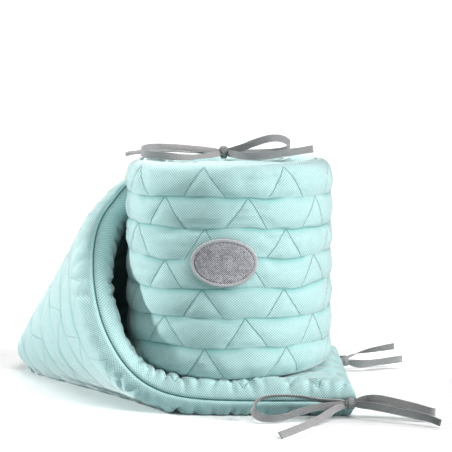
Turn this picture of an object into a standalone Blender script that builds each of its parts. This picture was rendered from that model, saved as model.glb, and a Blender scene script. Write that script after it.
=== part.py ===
"""Quilted crib bumper, one long padded band with cloth ties and a sewn-on patch.

The band's free end lies flat on the floor. The band then turns up in a soft cone at its left
end, climbs behind the flat part and winds inwards into an upright roll that stands on it.

Metres, +Z up, floor at z = 0. The roll's front faces -Y, and the free end points to +X. A place
on the band is given by s, the length from the free end, and w, the distance from the front edge,
which becomes the top edge once the band stands. Its outer face is the one outside the roll.
"""

import math

import bmesh
import bpy
import numpy as np
from mathutils import Vector
from mathutils.bvhtree import BVHTree

# ---------------------------------------------------------------- driving dimensions (metres)
BAND_WIDTH = 0.290          # height of the bumper in a cot
BAND_THICK = 0.044          # padding with both covers
FACE_DEPTH = 0.018          # the fold surface lies this far in from the outer face
FREE_END_X = 0.170          # the flat free end
APEX_X = -0.317             # tip of the cone in which the band turns up
FRONT_EDGE_Y = -0.178       # front edge of the flat part
APEX_BEHIND = 0.012         # the tip lies this far behind the flat part's back edge
CONE_START = math.radians(31.4)   # ruling at which an unforced fold leaves the floor

TURN_GAP = 0.003            # between one turn of the roll and the next
ROLL_X = -0.0095            # axis of the roll
ROLL_RADIUS = 0.1685        # outer face at the back, where the roll begins
CORE_RADIUS = 0.032         # fold surface at the inner end
PRESS_SLOPE = 6.0           # beside the roll's foot the lifted band may rise this steeply
PRESS_MARGIN = 0.004        # beginning this far inside the roll's outer face
STAND_GAP = 0.0012          # between the flat part and the roll that stands on it
FLOOR_PRESS = (0.006, 0.011)     # the underside lies on the floor where it would be lower than this

SAG_LOW = 0.107             # low down the fold's height falls by this share of its reach
SAG_BEND = 0.085            # and rounds off over this share
SAG_FADE = (0.25, 0.80)     # the loss is made good between these shares of the full height
SETTLE_FLAT = (0.116, 0.42)      # its weight lays the fold flat between these lengths before the tip
SETTLE_WALL = (0.094, 0.27)      # and it comes upright between these lengths past it
WALL_FOOT = 0.020           # bottom edge of the standing band just past the tip
CLIMB = (0.06, 0.36)        # it climbs onto the flat part between these lengths past the tip
BESIDE = 0.012              # until then it stands this much further behind the flat part
BESIDE_FROM = (0.0, 0.10)        # moving there between these lengths past the tip
BESIDE_TO = (0.22, 0.36)         # and back between these
LEAN = 0.016                # the fold's rim leans this much towards the roll
LEAN_REACH = 0.20           # fading out at this length before and after the tip

QUILT_ROW = 0.0400          # between two stitched lines along the band
QUILT_PITCH = 0.100         # between two stitched triangles in a row
QUILT_BASE = 0.050          # base of a triangle
QUILT_DEPTH = 0.0042        # how far a stitched line is drawn in
QUILT_REACH = 0.0150        # a cell is at its full height this far from the stitching
QUILT_PUFF = 0.6            # power of the rise from the stitching, below 1 for a puffy cell
EDGE_RADIUS = 0.024         # the section is round over this much of its width

PINCH_SHARE = 0.42          # where the fold is tight, the padding fills this much of it

STEP_LONG = 0.0125          # grid along the band as far as one whole turn of the roll
STEP_CORE = math.radians(16.0)   # grid along the inner turns, by the angle wound
EDGE_STEPS = (0.0, 0.0040, 0.0125)   # grid round the edges
NORMAL_STEP = 0.0005        # a normal is measured over this much of the fold surface each way

TIE_WIDTH = 0.0100          # flat cloth tape
TIE_THICK = 0.0014
TIE_STEP = 0.007            # between two sections of a tie
SEAT_GAP = 0.0005           # between two pieces that touch

PATCH_HALF = (0.044, 0.032) # half the oval patch's length and height
PATCH_CENTRE_X = -0.003
PATCH_CENTRE_Z = 0.206
PATCH_THICK = 0.0016
PATCH_BORDER = 0.0008       # how far its stitched border is raised
PATCH_SIDES = 36
PATCH_MARGIN = 0.006        # the quilting is pressed flat this far round it
PATCH_FADE = 1.25           # and is back at this many times that oval

# ---------------------------------------------------------------- derived sizes
INNER_DEPTH = BAND_THICK - FACE_DEPTH
APEX_Y = FRONT_EDGE_Y + BAND_WIDTH + APEX_BEHIND
APEX = np.array([APEX_X, APEX_Y, FACE_DEPTH])
APEX_S = FREE_END_X - APEX_X
CONE_HALF_ANGLE = math.atan(math.sin(CONE_START))
CONE_FIRST = np.array([math.cos(CONE_START), -math.sin(CONE_START), 0.0])
CONE_AXIS = math.cos(CONE_HALF_ANGLE) * CONE_FIRST + np.array([0.0, 0.0, math.sin(CONE_HALF_ANGLE)])

TURN_PITCH = BAND_THICK + TURN_GAP
FOLD_RADIUS = ROLL_RADIUS - FACE_DEPTH
ROLL_Y = APEX_Y - FOLD_RADIUS
ROLL_START_S = APEX_S + ROLL_X - APEX_X
ROLL_ANGLE = 2.0 * math.pi * (FOLD_RADIUS - CORE_RADIUS) / TURN_PITCH
ROLL_FLOOR = BAND_THICK + STAND_GAP


def wound_to(angle):
    """Length along the band at which the roll has turned by this angle."""
    return ROLL_START_S + FOLD_RADIUS * angle - TURN_PITCH * angle ** 2 / (4.0 * math.pi)


BAND_LENGTH = wound_to(ROLL_ANGLE)

PATCH_ANGLE = math.pi - math.asin((PATCH_CENTRE_X - ROLL_X) / ROLL_RADIUS)
PATCH_S = wound_to(PATCH_ANGLE)
PATCH_W = BAND_WIDTH + ROLL_FLOOR - PATCH_CENTRE_Z
PATCH_BEND = 1.0 - FACE_DEPTH / (ROLL_RADIUS - 0.5 * TURN_PITCH)   # fold length per face length


def smooth(value, low, high):
    """0 below low, 1 above high and an even ease between them."""
    t = np.clip((value - low) / (high - low), 0.0, 1.0)
    return t * t * (3.0 - 2.0 * t)


def turned(vector, axis, angle):
    """vector turned about a unit axis, for an array of angles."""
    cosine = np.cos(angle)[..., None]
    sine = np.sin(angle)[..., None]
    along = axis * float(np.dot(axis, vector))
    return vector * cosine + np.cross(axis, vector) * sine + along * (1.0 - cosine)


def cone_fold(s, w):
    """Soft fold: flat on the floor, round a cone that sags a little, up against the back wall."""
    across = BAND_WIDTH + APEX_BEHIND - w
    along = APEX_S - s
    ruling = np.arctan2(across, along)
    reach = np.hypot(across, along)
    last = math.pi - CONE_START
    sweep = (np.clip(ruling, CONE_START, last) - CONE_START) / math.sin(CONE_HALF_ANGLE)
    direction = turned(CONE_FIRST, CONE_AXIS, -sweep)
    zero = np.zeros_like(ruling)
    towards_front = np.stack([np.cos(ruling), -np.sin(ruling), zero], -1)
    upwards = np.stack([-np.cos(ruling), zero, np.sin(ruling)], -1)
    on_floor = (ruling < CONE_START)[..., None]
    on_wall = (ruling > last)[..., None]
    direction = np.where(on_floor, towards_front, np.where(on_wall, upwards, direction))
    direction[..., 2] = sagged(direction[..., 2])
    return APEX + reach[..., None] * direction


def sagged(rise):
    """Height per length of ruling once the padding's weight has lowered it."""
    lowest = 0.5 * (math.hypot(SAG_LOW, SAG_BEND) - SAG_LOW)
    lowered = 0.5 * (rise - SAG_LOW + np.hypot(rise - SAG_LOW, SAG_BEND)) - lowest
    return lowered + SAG_LOW * smooth(rise, *SAG_FADE)


def roll_angle(s):
    """Angle wound at s, measured clockwise from the back; the spiral's length is inverted."""
    length = np.maximum(s - ROLL_START_S, 0.0)
    shrink = TURN_PITCH / (2.0 * math.pi)
    inside = np.maximum(FOLD_RADIUS ** 2 - 2.0 * shrink * length, 0.0)
    return (FOLD_RADIUS - np.sqrt(inside)) / shrink


def upright(s, w):
    """The standing band: straight behind the flat part, then the spiral of the roll."""
    angle = roll_angle(s)
    radius = FOLD_RADIUS - TURN_PITCH * angle / (2.0 * math.pi)
    before = np.minimum(s - ROLL_START_S, 0.0)
    climb = smooth(s - APEX_S, *CLIMB)
    foot = WALL_FOOT + (ROLL_FLOOR - WALL_FOOT) * climb
    x = ROLL_X + before + radius * np.sin(angle)
    y = ROLL_Y + radius * np.cos(angle)
    return np.stack([x, y, foot + BAND_WIDTH - w], -1)


def lying(s, w):
    """The flat part on the floor."""
    x = FREE_END_X - s
    return np.stack([x, FRONT_EDGE_Y + w, np.full_like(x, FACE_DEPTH)], -1)


def fold_surface(s, w):
    """Point of the surface along which the band is bent."""
    free = cone_fold(s, w)
    flat = lying(s, w)
    past = s - APEX_S
    to_free = smooth(past, -SETTLE_FLAT[1], -SETTLE_FLAT[0])[..., None]
    to_wall = smooth(past, *SETTLE_WALL)[..., None]
    point = flat + (free - flat) * to_free
    point = point + (upright(s, w) - point) * to_wall
    beside = smooth(past, *BESIDE_FROM) * (1.0 - smooth(past, *BESIDE_TO))
    lean = LEAN * smooth(-np.abs(past), -LEAN_REACH, 0.0) * smooth(-w, -BAND_WIDTH, 0.0)
    point[..., 1] += BESIDE * beside
    point[..., 0] += lean
    return point


def outward(s, w):
    """Unit normal of the fold surface, towards the outer face of the roll."""
    along = fold_surface(s + NORMAL_STEP, w) - fold_surface(s - NORMAL_STEP, w)
    across = fold_surface(s, w + NORMAL_STEP) - fold_surface(s, w - NORMAL_STEP)
    normal = np.cross(along, across)
    return normal / np.linalg.norm(normal, axis=-1, keepdims=True)


def stitch_distance(s, w):
    """Distance from the nearest stitched line: long rows, and a row of plain triangles in each."""
    row = (w - 0.5 * BAND_WIDTH) / QUILT_ROW + 0.5
    index = np.floor(row)
    down = (row - index) * QUILT_ROW
    to_row = np.minimum(down, QUILT_ROW - down)
    shift = np.where(np.mod(index, 2.0) == 0.0, 0.0, 0.5 * QUILT_PITCH)
    side = np.abs(np.mod(s + shift + 0.5 * QUILT_PITCH, QUILT_PITCH) - 0.5 * QUILT_PITCH)
    slope = 0.5 * QUILT_BASE / QUILT_ROW
    to_side = np.abs(side - down * slope) / math.hypot(1.0, slope)
    return np.minimum(to_row, to_side)


def section_height(s, w):
    """Share of the padding's depth at this place: round edges, full between."""
    edge = np.minimum(np.minimum(w, BAND_WIDTH - w), s)
    edge = np.minimum(edge, BAND_LENGTH - s)
    t = np.clip(edge / EDGE_RADIUS, 0.0, 1.0)
    return np.sqrt(np.clip(1.0 - (1.0 - t) ** 2, 0.0, 1.0))


def band_face(s, w, side, quilting=1.0):
    """A point of the cover: side is +1 on the outer face and -1 on the inner one."""
    point = fold_surface(s, w)
    reach = np.hypot(BAND_WIDTH + APEX_BEHIND - w, APEX_S - s)
    stitched = 1.0 - np.clip(stitch_distance(s, w) / QUILT_REACH, 0.0, 1.0) ** QUILT_PUFF
    inner = np.minimum(INNER_DEPTH, PINCH_SHARE * reach * math.tan(CONE_HALF_ANGLE))
    middle = 0.5 * (FACE_DEPTH - inner)
    half = 0.5 * (FACE_DEPTH + inner)
    drawn_in = QUILT_DEPTH * stitched * quilting
    depth = middle + side * section_height(s, w) * (half - drawn_in)
    placed = point + outward(s, w) * depth[..., None]
    height = placed[..., 2]
    highest = np.where(s < APEX_S, pressed_height(placed), height)
    height = np.minimum(height, highest)
    placed[..., 2] = height * smooth(height, *FLOOR_PRESS)
    return placed


def pressed_height(point):
    """Highest that the flat part may reach: level under the roll, free beside it."""
    angle = np.mod(np.arctan2(point[..., 0] - ROLL_X, point[..., 1] - ROLL_Y), 2.0 * math.pi)
    outside = np.hypot(point[..., 0] - ROLL_X, point[..., 1] - ROLL_Y)
    outside = outside - (ROLL_RADIUS - TURN_PITCH * angle / (2.0 * math.pi))
    return BAND_THICK + PRESS_SLOPE * np.maximum(outside + PRESS_MARGIN, 0.0)


def under_patch(s, w):
    """1 where the patch is sewn on, fading to 0 beyond its margin."""
    along = (s - PATCH_S) / (PATCH_BEND * (PATCH_HALF[0] + PATCH_MARGIN))
    across = (w - PATCH_W) / (PATCH_HALF[1] + PATCH_MARGIN)
    return 1.0 - smooth(np.hypot(along, across), 1.0, PATCH_FADE)


def band_steps():
    """Places along the band at which its section is set: even steps, then even angles."""
    first_turn = 2.0 * math.pi
    outer = np.arange(2.0 * STEP_LONG, wound_to(first_turn), STEP_LONG)
    count = int(round((ROLL_ANGLE - first_turn) / STEP_CORE))
    inner = wound_to(np.linspace(first_turn, ROLL_ANGLE, count + 1)[1:-2])
    ends = np.array(EDGE_STEPS)
    return np.concatenate([ends, outer, inner, BAND_LENGTH - ends[::-1]])


def band_rows():
    """Places across the band: on each stitched line, midway between, and round the edges."""
    rows = np.arange(-3.0, 3.01, 0.5) * QUILT_ROW + 0.5 * BAND_WIDTH
    ends = np.array(EDGE_STEPS[1:])
    return np.concatenate([ends, rows, BAND_WIDTH - ends[::-1]])


def build_band():
    """The padded band as one closed body: rings of its section, joined end to end."""
    steps = band_steps()
    rows = band_rows()
    seam_front = np.zeros(1)
    seam_back = np.array([BAND_WIDTH])
    ring_w = np.concatenate([seam_front, rows, seam_back, rows[::-1]])
    ring_side = np.concatenate([[0.0], np.ones(len(rows)), [0.0], -np.ones(len(rows))])
    s, w = np.meshgrid(steps, ring_w, indexing="ij")
    side = np.broadcast_to(ring_side, s.shape)
    points = band_face(s, w, side, 1.0 - under_patch(s, w) * (side > 0.0))
    mesh = bmesh.new()
    grid = [[mesh.verts.new(p) for p in ring] for ring in points[1:-1]]
    around = len(ring_w)
    for low, high in zip(grid[:-1], grid[1:]):
        for k in range(around):
            after = (k + 1) % around
            mesh.faces.new((low[k], low[after], high[after], high[k]))
    for ring, closing in ((grid[0], points[0]), (grid[-1], points[-1])):
        close_end(mesh, ring, closing, len(rows))
    bmesh.ops.recalc_face_normals(mesh, faces=mesh.faces)
    cut_along_lower_diagonal(mesh)
    return finish(mesh, "bumper_band", MINT)


def close_end(mesh, ring, closing, count):
    """Join the two covers at an end along the seam between them."""
    seam = [ring[0]]
    seam += [mesh.verts.new(closing[k]) for k in range(1, count + 1)]
    seam += [ring[count + 1]]
    around = len(ring)
    for k in range(count + 1):
        lower = ring[k], ring[k + 1]
        upper = ring[-k % around], ring[-k - 1]
        for a, b in (lower, upper):
            corners = []
            for vert in (a, b, seam[k + 1], seam[k]):
                if vert not in corners:
                    corners.append(vert)
            if len(corners) > 2:
                mesh.faces.new(corners)


def cut_along_lower_diagonal(mesh):
    """Split each four-sided face so that its diagonal runs along the crease."""
    for face in list(mesh.faces):
        if len(face.verts) != 4:
            continue
        a, b, c, d = face.verts
        centre = face.calc_center_median()
        first = 0.5 * (a.co + c.co) - centre
        pair = (a, c) if first.dot(face.normal) < 0.0 else (b, d)
        bmesh.utils.face_split(face, pair[0], pair[1])


def material(name, colour, roughness):
    """A plain cloth finish."""
    finish_of = bpy.data.materials.new(name)
    finish_of.use_nodes = True
    shader = finish_of.node_tree.nodes["Principled BSDF"]
    shader.inputs["Base Color"].default_value = (*colour, 1.0)
    shader.inputs["Roughness"].default_value = roughness
    shader.inputs["Metallic"].default_value = 0.0
    finish_of.diffuse_color = (*colour, 1.0)
    return finish_of


def finish(mesh, name, look):
    """Turn a mesh under construction into a named object."""
    data = bpy.data.meshes.new(name)
    mesh.to_mesh(data)
    mesh.free()
    data.materials.append(look)
    piece = bpy.data.objects.new(name, data)
    bpy.context.collection.objects.link(piece)
    data.shade_smooth()
    return piece


PATCH_RINGS = (
    # share of the oval, height of the top face above the patch's back
    (0.25, PATCH_THICK),
    (0.50, PATCH_THICK),
    (0.72, PATCH_THICK),
    (0.88, PATCH_THICK),
    (0.93, PATCH_THICK + PATCH_BORDER),
    (0.98, PATCH_THICK + PATCH_BORDER),
    (1.00, 0.5 * PATCH_THICK),
)


def patch_point(share, turn, height):
    """A point of the patch: share of the way out, turn round the oval, height off its back."""
    s = np.array([PATCH_S + PATCH_BEND * PATCH_HALF[0] * share * math.cos(turn)])
    w = np.array([PATCH_W - PATCH_HALF[1] * share * math.sin(turn)])
    face = band_face(s, w, 1.0, 0.0)[0]
    return face + outward(s, w)[0] * (SEAT_GAP + height)


def build_patch():
    """An oval patch with a raised border, bent round the front of the roll."""
    mesh = bmesh.new()
    turns = [2.0 * math.pi * k / PATCH_SIDES for k in range(PATCH_SIDES)]
    front = [[mesh.verts.new(patch_point(a, t, h)) for t in turns] for a, h in PATCH_RINGS]
    back = [[mesh.verts.new(patch_point(a, t, 0.0)) for t in turns] for a, _ in PATCH_RINGS]
    front_centre = mesh.verts.new(patch_point(0.0, 0.0, PATCH_THICK))
    back_centre = mesh.verts.new(patch_point(0.0, 0.0, 0.0))
    rings = front + back[::-1]
    for low, high in zip(rings[:-1], rings[1:]):
        for k in range(PATCH_SIDES):
            after = (k + 1) % PATCH_SIDES
            mesh.faces.new((low[k], low[after], high[after], high[k]))
    for centre, ring in ((front_centre, front[0]), (back_centre, back[0])):
        for k in range(PATCH_SIDES):
            mesh.faces.new((centre, ring[k], ring[(k + 1) % PATCH_SIDES]))
    bmesh.ops.recalc_face_normals(mesh, faces=mesh.faces)
    return finish(mesh, "sewn_patch", MAUVE)


def spline(rows):
    """Even steps along a smooth curve through hand-set rows of x, y, z, lean."""
    rows = np.array(rows, dtype=float)
    ends = np.vstack([2.0 * rows[0] - rows[1], rows, 2.0 * rows[-1] - rows[-2]])
    fine = []
    for a, b, c, d in zip(ends[:-3], ends[1:-2], ends[2:-1], ends[3:]):
        for t in np.linspace(0.0, 1.0, 12, endpoint=False):
            fine.append(0.5 * (2.0 * b + (c - a) * t + (2.0 * a - 5.0 * b + 4.0 * c - d) * t ** 2
                               + (3.0 * b - a - 3.0 * c + d) * t ** 3))
    fine = np.array(fine + [rows[-1]])
    length = np.concatenate([[0.0], np.cumsum(np.linalg.norm(np.diff(fine[:, :3], axis=0), axis=1))])
    count = max(3, int(round(length[-1] / TIE_STEP)) + 1)
    even = np.linspace(0.0, length[-1], count)
    return np.stack([np.interp(even, length, fine[:, k]) for k in range(4)], -1)


def tape(rows, name):
    """A flat tape through rows of x, y, z, lean; its width leans so many degrees off upright."""
    path = spline(rows)
    mesh = bmesh.new()
    sections = []
    for k, (x, y, z, lean) in enumerate(path):
        before, after = path[max(k - 1, 0), :3], path[min(k + 1, len(path) - 1), :3]
        ahead = Vector(after - before).normalized()
        level = ahead.cross(Vector((0.0, 0.0, 1.0))).normalized()
        upright_way = level.cross(ahead)
        angle = math.radians(lean)
        wide = upright_way * math.cos(angle) + level * math.sin(angle)
        thick = ahead.cross(wide) * (0.5 * TIE_THICK)
        wide = wide * (0.5 * TIE_WIDTH)
        place = Vector((x, y, z))
        corners = ((-1, -1), (1, -1), (1, 1), (-1, 1))
        sections.append([mesh.verts.new(place + wide * a + thick * b) for a, b in corners])
    for low, high in zip(sections[:-1], sections[1:]):
        for k in range(4):
            mesh.faces.new((low[k], low[(k + 1) % 4], high[(k + 1) % 4], high[k]))
    mesh.faces.new(sections[0])
    mesh.faces.new(sections[-1])
    bmesh.ops.recalc_face_normals(mesh, faces=mesh.faces)
    return finish(mesh, name, GREY)


def build_tie(name, knot, strands, seat_way):
    """A tied bow: its loops and free ends fused at the knot, then moved up to its seat."""
    mesh = bmesh.new()
    bmesh.ops.create_icosphere(mesh, subdivisions=2, radius=1.0)
    place, half = Vector(knot[:3]), Vector(knot[3:])
    for vert in mesh.verts:
        vert.co = Vector(a * b for a, b in zip(vert.co, half)) + place
    bow = finish(mesh, name, GREY)
    for k, rows in enumerate(strands):
        strand = tape(rows, f"{name}_strand_{k + 1}")
        fuse = bow.modifiers.new("fuse", "BOOLEAN")
        fuse.operation = "UNION"
        fuse.solver = "EXACT"
        fuse.use_self = True
        fuse.object = strand
        view = bpy.context.evaluated_depsgraph_get()
        fused = bpy.data.meshes.new_from_object(bow.evaluated_get(view))
        bow.modifiers.clear()
        bow.data = fused
        bpy.data.objects.remove(strand, do_unlink=True)
    fill_pockets(bow.data)
    seat(bow, Vector(seat_way))
    return bow


def fill_pockets(data):
    """Keep a tie's outer skin alone, so that no small hollow is left inside its knot."""
    mesh = bmesh.new()
    mesh.from_mesh(data)
    left = set(mesh.verts)
    skins = []
    while left:
        skin, border = set(), [left.pop()]
        while border:
            vert = border.pop()
            skin.add(vert)
            near = {edge.other_vert(vert) for edge in vert.link_edges} & left
            left -= near
            border.extend(near)
        skins.append(skin)
    outer = max(skins, key=len)
    inner = [vert for skin in skins if skin is not outer for vert in skin]
    bmesh.ops.delete(mesh, geom=inner, context="VERTS")
    mesh.to_mesh(data)
    mesh.free()


def seat(piece, way):
    """Move a piece along way until it is SEAT_GAP from the band."""
    ahead = [BAND_TREE.ray_cast(vert.co, way)[3] for vert in piece.data.vertices]
    distances = [distance for distance in ahead if distance is not None]
    step = way * (min(distances) - SEAT_GAP)
    for vert in piece.data.vertices:
        vert.co += step


for old in list(bpy.data.objects):
    bpy.data.objects.remove(old, do_unlink=True)

MINT = material("mint_cover", (0.42, 0.74, 0.68), 0.85)
GREY = material("grey_tie", (0.20, 0.20, 0.21), 0.9)
MAUVE = material("mauve_patch", (0.42, 0.38, 0.41), 0.9)

TOP_KNOT = (-0.006, -0.050, 0.3475, 0.0065, 0.0065, 0.0080)
TOP_STRANDS = (
    # x, y, z, lean of the tape off upright: the left loop
    ((-0.008, -0.048, 0.3475, 30), (-0.039, -0.030, 0.350, 20), (-0.068, -0.020, 0.352, 10),
     (-0.099, -0.020, 0.353, 0), (-0.116, -0.035, 0.351, 0), (-0.120, -0.055, 0.348, 0),
     (-0.111, -0.075, 0.346, 0), (-0.086, -0.090, 0.3445, -10), (-0.062, -0.095, 0.343, -40),
     (-0.038, -0.080, 0.343, -60), (-0.008, -0.052, 0.3465, -30)),
    # the left free end
    ((-0.008, -0.050, 0.3465, 60), (-0.050, -0.012, 0.3475, 40), (-0.090, 0.002, 0.348, 20),
     (-0.119, 0.006, 0.346, 30), (-0.147, 0.006, 0.342, 60)),
    # the right loop
    ((-0.004, -0.050, 0.348, -10), (0.017, -0.056, 0.353, 0), (0.037, -0.060, 0.361, 0),
     (0.058, -0.060, 0.367, 0), (0.075, -0.052, 0.366, 0), (0.086, -0.037, 0.358, 0),
     (0.081, -0.022, 0.349, 0), (0.050, -0.018, 0.345, 0), (-0.002, -0.046, 0.3465, 20)),
    # the right free end
    ((-0.004, -0.052, 0.3465, 0), (0.022, -0.082, 0.344, 0), (0.046, -0.088, 0.344, 0),
     (0.078, -0.083, 0.348, 0), (0.117, -0.070, 0.353, -5)),
)

FRONT_KNOT = (0.161, -0.190, 0.0215, 0.0065, 0.0060, 0.0070)
FRONT_STRANDS = (
    # x, y, z, lean of the tape off upright: the left loop
    ((0.159, -0.190, 0.022, -20), (0.122, -0.195, 0.0265, -50), (0.095, -0.198, 0.032, -60),
     (0.068, -0.201, 0.034, -60), (0.044, -0.203, 0.031, -50), (0.033, -0.208, 0.0205, -30),
     (0.038, -0.214, 0.0110, -20), (0.052, -0.217, 0.0080, 0), (0.070, -0.216, 0.0090, 10),
     (0.095, -0.208, 0.0150, 10), (0.122, -0.200, 0.0195, 10), (0.159, -0.192, 0.021, 0)),
    # the left free end
    ((0.159, -0.191, 0.021, 20), (0.141, -0.199, 0.0160, 20), (0.123, -0.214, 0.0090, 30),
     (0.099, -0.243, 0.0055, 40), (0.065, -0.288, 0.0055, 40)),
    # the right loop
    ((0.163, -0.190, 0.022, 0), (0.179, -0.194, 0.0280, 0), (0.195, -0.199, 0.0300, -10),
     (0.217, -0.203, 0.0265, -10), (0.243, -0.207, 0.0210, -10), (0.266, -0.211, 0.0155, 0),
     (0.269, -0.204, 0.0130, 0), (0.257, -0.198, 0.0130, 0), (0.220, -0.191, 0.0170, 0),
     (0.190, -0.188, 0.0200, 0), (0.163, -0.189, 0.0215, 0)),
    # the right free end
    ((0.163, -0.192, 0.021, 0), (0.190, -0.207, 0.0215, 0), (0.227, -0.219, 0.0165, 0),
     (0.257, -0.229, 0.0120, 5), (0.273, -0.236, 0.0075, 10)),
)

BACK_KNOT = (0.182, 0.100, 0.0160, 0.0070, 0.0070, 0.0075)
BACK_STRANDS = (
    # x, y, z, lean of the tape off upright: the loop
    ((0.182, 0.100, 0.0150, 0), (0.205, 0.094, 0.0115, 0), (0.225, 0.098, 0.0125, 0),
     (0.252, 0.106, 0.0155, 0), (0.270, 0.114, 0.0160, 0), (0.273, 0.123, 0.0140, 0),
     (0.262, 0.127, 0.0110, 0), (0.235, 0.121, 0.0090, 0), (0.205, 0.112, 0.0100, 0),
     (0.182, 0.101, 0.0150, 0)),
    # the free end
    ((0.182, 0.100, 0.0190, 90), (0.195, 0.103, 0.0245, 80), (0.208, 0.108, 0.0280, 60),
     (0.226, 0.115, 0.0300, 30), (0.262, 0.128, 0.0330, 0)),
)

band = build_band()
BAND_TREE = BVHTree.FromObject(band, bpy.context.evaluated_depsgraph_get())
build_patch()
build_tie("top_tie", TOP_KNOT, TOP_STRANDS, (0.0, 0.0, -1.0))
build_tie("front_corner_tie", FRONT_KNOT, FRONT_STRANDS, (0.0, 1.0, 0.0))
build_tie("back_corner_tie", BACK_KNOT, BACK_STRANDS, (-1.0, 0.0, 0.0))
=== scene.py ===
"""Quilted crib bumper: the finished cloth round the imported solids, in metres with +Z up.

A place on the band is given by s, the length from its free end, and w, the distance from the
front edge, which becomes the top edge once the band stands.
"""
import math

import bmesh
import bpy
import numpy as np
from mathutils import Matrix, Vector
from mathutils.bvhtree import BVHTree


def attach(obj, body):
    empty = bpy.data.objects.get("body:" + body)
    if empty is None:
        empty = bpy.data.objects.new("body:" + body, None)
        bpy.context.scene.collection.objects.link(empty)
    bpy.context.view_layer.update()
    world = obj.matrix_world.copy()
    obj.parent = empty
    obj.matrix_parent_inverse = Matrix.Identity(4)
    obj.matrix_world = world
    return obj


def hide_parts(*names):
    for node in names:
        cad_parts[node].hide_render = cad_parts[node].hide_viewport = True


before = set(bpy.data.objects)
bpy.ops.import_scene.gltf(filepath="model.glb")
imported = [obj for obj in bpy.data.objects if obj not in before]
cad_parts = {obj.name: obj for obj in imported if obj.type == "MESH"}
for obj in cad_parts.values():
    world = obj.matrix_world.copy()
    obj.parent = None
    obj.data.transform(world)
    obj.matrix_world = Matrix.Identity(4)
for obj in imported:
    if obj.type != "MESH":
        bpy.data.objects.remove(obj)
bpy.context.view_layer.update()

# ---------------------------------------------------------------- sizes of the band (metres)
BAND_WIDTH = 0.290
BAND_THICK = 0.044
FACE_DEPTH = 0.018          # the fold surface lies this far in from the outer face
FREE_END_X = 0.170
APEX_X = -0.317             # tip of the cone in which the band turns up
FRONT_EDGE_Y = -0.178
APEX_BEHIND = 0.012         # the tip lies this far behind the flat part's back edge
CONE_START = math.radians(31.4)

TURN_GAP = 0.003
ROLL_X = -0.0095
ROLL_RADIUS = 0.1685
CORE_RADIUS = 0.032
PRESS_SLOPE = 6.0
PRESS_MARGIN = 0.004
STAND_GAP = 0.0012
FLOOR_PRESS = (0.004, 0.009)

SAG_LOW = 0.107
SAG_BEND = 0.085
SAG_FADE = (0.25, 0.80)
SETTLE_FLAT = (0.116, 0.42)
SETTLE_WALL = (0.094, 0.27)
WALL_FOOT = 0.020
CLIMB = (0.06, 0.36)
BESIDE = 0.012
BESIDE_FROM = (0.0, 0.10)
BESIDE_TO = (0.22, 0.36)
LEAN = 0.016
LEAN_REACH = 0.20

# ---------------------------------------------------------------- quilting and slack of the cloth
QUILT_ROW = 0.0400
QUILT_PITCH = 0.100
QUILT_BASE = 0.050
ROW_DEPTH = 0.0040          # how far a row line is drawn in
ROW_REACH = 0.0150
ROW_FALL = 0.62             # a lower exponent is a sharper line
ROW_BORDER = (0.009, 0.020)     # no row line nearer to the edge than this
SIDE_DEPTH = 0.0026         # how far a triangle's side is drawn in
SIDE_REACH = 0.0090
SIDE_FALL = 0.60
SIDE_BORDER = (0.0045, 0.0075)
PUFF = 0.0012               # the middle of a cell stands this far over the solid
OVERHANG = 0.30             # a cell is fuller towards its lower line by this share
STRAY_ALONG = 0.0030        # a stitched line strays by this much along the band
STRAY_ACROSS = 0.0050
STRAY_FINE = 0.0015
STRAY_BORDER = 0.020
CREASE_DEPTH = 0.0021       # slack creases between the rows
CREASE_NARROW = 0.16
SLACK_PATCHES = (-0.1, 0.6)
FINE_DEPTH = 0.00035
CALM_OUTSIDE = 0.80         # on the flap's outer face the quilting is shallower by this share
CALM_FADE = (0.10, 0.42)

WAVES = {
    # slow random changes: length along the band and across it, start of each, seed
    "stray along": (0.055, 0.060, 9.0, 0.0, 11),
    "stray across": (0.060, 0.075, 0.0, 5.0, 12),
    "stray fine": (0.021, 0.040, 0.0, 2.0, 13),
    "crease": (0.050, 0.0085, 0.0, 0.0, 21),
    "slack": (0.070, 0.045, 3.0, 0.0, 31),
    "fine": (0.012, 0.006, 0.0, 0.0, 41),
}

PUCKER_DEPTH = 0.0085       # notches that the edge seam draws into the rim
PUCKER_LEAST = 0.30         # the shallowest one's share of that, before the uneven spread
PUCKER_SPREAD = 1.3
PUCKER_SPACING = 0.0165
PUCKER_STRAY = 0.35         # share of the spacing by which a notch is out of place
PUCKER_TILT = 0.7
PUCKER_HALF = 0.0040
PUCKER_SHARPNESS = 1.3
PUCKER_REACH = (0.012, 0.040)
PUCKER_SHARE = (1.0, 0.62, 0.30)  # on the inner cover, on the outer one, and on the roll
PUCKER_FADE = (-0.06, 0.30)     # from the tip on, they weaken over this length of the band
PUCKER_SEED = 7

EDGE_RADIUS = 0.024
SEAM_DEPTH = 0.0030         # groove of the seam along every edge
SEAM_HALF = 0.0024
PINCH_SHARE = 0.42
RIM_SWELL = 0.015           # the inner cover bunches up by this much where the band turns up
RIM_SWELL_FROM = (-0.30, -0.02)
RIM_SWELL_TO = (0.10, 0.18)
RIM_SWELL_REACH = (0.030, 0.085)
PAD_SWELL = 0.0065          # and by this much along the flat part's front
PAD_SWELL_TO = (-0.02, 0.0)
PAD_SWELL_REACH = (0.016, 0.046)

LONG_STEPS = (
    # mesh along the band: as far as this length, in steps of this size
    (0.76, 0.0031),
    (1.59, 0.0041),
    (9.00, 0.0095),
)
OUTER_STEP = 0.0032         # mesh across the outer face
INNER_STEPS = (
    # and across the inner one: as far from the front edge as this, in steps of this size
    (0.066, 0.0033),
    (9.000, 0.0062),
)
EDGE_TURNS = (0.0, 1.6, 3.2, 5.3, 8.0, 12.0, 17.5, 24.5, 33.0, 42.0, 51.0, 60.0, 68.0, 76.0)
NORMAL_STEP = 0.0005
WEAVE_APART = 0.1           # the two covers' weaves are this far apart in the pattern's space

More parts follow.
